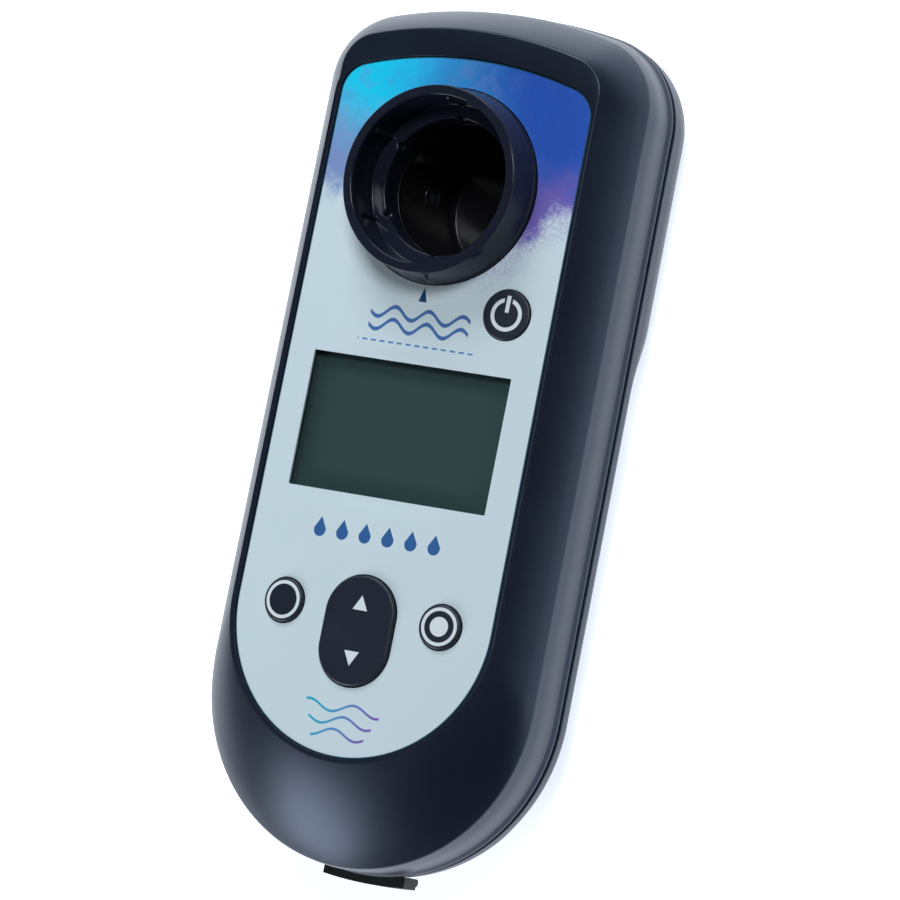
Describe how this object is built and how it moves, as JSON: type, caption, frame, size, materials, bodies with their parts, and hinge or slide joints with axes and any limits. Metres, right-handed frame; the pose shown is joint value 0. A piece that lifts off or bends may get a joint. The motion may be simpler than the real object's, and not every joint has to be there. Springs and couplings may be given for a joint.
{
  "type": "digital water tester",
  "caption": "Hand-held photometer for pool water with a raised round well for a sample tube, a display, round keys and a rocker key.",
  "frame": {"origin": "middle of the bounding box in plan, on the surface the tester lies on", "axes": "+Z out of the face, +Y along the case towards the well end, +X across the case towards the side of the power key"},
  "size_m": [0.074, 0.1784, 0.0441],
  "materials": {
    "case": "fine textured, satin",
    "label": "printed film, satin, colour wash at the well end",
    "window": "clear, polished",
    "lcd": "dark grey-green, unlit",
    "frame": "matt",
    "strip": "soft",
    "board": "solder resist",
    "mat": "soft",
    "key": "satin",
    "pill": "carbon",
    "collar": "polished",
    "chamber": "semi-gloss",
    "rubber": "matt",
    "lamp": "clear lens",
    "filter": "coloured glass",
    "steel": "bright",
    "cell": "sleeve",
    "spring": "nickel plated",
    "plate": "satin, blank"
  },
  "bodies": {
    "case": {"front_shell": "case", "rear_shell": "case", "case_seal": "rubber", "face_overlay": "label", "display_window": "window", "lcd_panel": "lcd", "lcd_bezel": "frame", "lcd_strip": "strip", "main_board": "board", "keypad_mat": "mat", "well_collar": "collar", "collar_seal": "rubber", "optics_chamber": "chamber", "led_window": "window", "detector_window": "window", "light_source": "lamp", "led_board": "board", "optical_filter": "filter", "detector": "steel", "detector_board": "board", "usb_port": "steel", "cover_seal": "rubber", "cell_left": "cell", "cell_middle": "cell", "cell_right": "cell", "contact_springs": "spring", "contact_plates": "spring", "case_screws": "steel", "board_screws": "steel", "back_plate": "plate", "foot_pads": "rubber"},
    "power_key": {"power_key": "key", "power_pill": "pill"},
    "back_key": {"back_key": "key", "back_pill": "pill"},
    "enter_key": {"enter_key": "key", "enter_pill": "pill"},
    "rocker_key": {"rocker_key": "key", "rocker_pills": "pill"},
    "usb_cover": {"usb_cover": "rubber"},
    "battery_cover": {"battery_cover": "case", "cover_screws": "steel"}
  },
  "joints": [
    {"name": "power_key_press", "type": "slide", "parent": "case", "child": "power_key", "axis": [0, 0, -1], "range_m": [0, 0.0008], "stiffness_N_per_m": 700},
    {"name": "back_key_press", "type": "slide", "parent": "case", "child": "back_key", "axis": [0, 0, -1], "range_m": [0, 0.0008], "stiffness_N_per_m": 700},
    {"name": "enter_key_press", "type": "slide", "parent": "case", "child": "enter_key", "axis": [0, 0, -1], "range_m": [0, 0.0008], "stiffness_N_per_m": 700},
    {"name": "rocker_tip", "type": "hinge", "parent": "case", "child": "rocker_key", "pos_m": [0, -0.0396, 0.0336], "axis": [1, 0, 0], "range_deg": [-3, 3], "stiffness_Nm_per_rad": 0.2},
    {"name": "usb_cover_flap", "type": "hinge", "parent": "case", "child": "usb_cover", "pos_m": [0, -0.0864, 0.008], "axis": [1, 0, 0], "range_deg": [0, 100]},
    {"name": "battery_cover_off", "type": "slide", "parent": "case", "child": "battery_cover", "axis": [0, 0, -1], "range_m": [0, 0.03]}
  ]
}
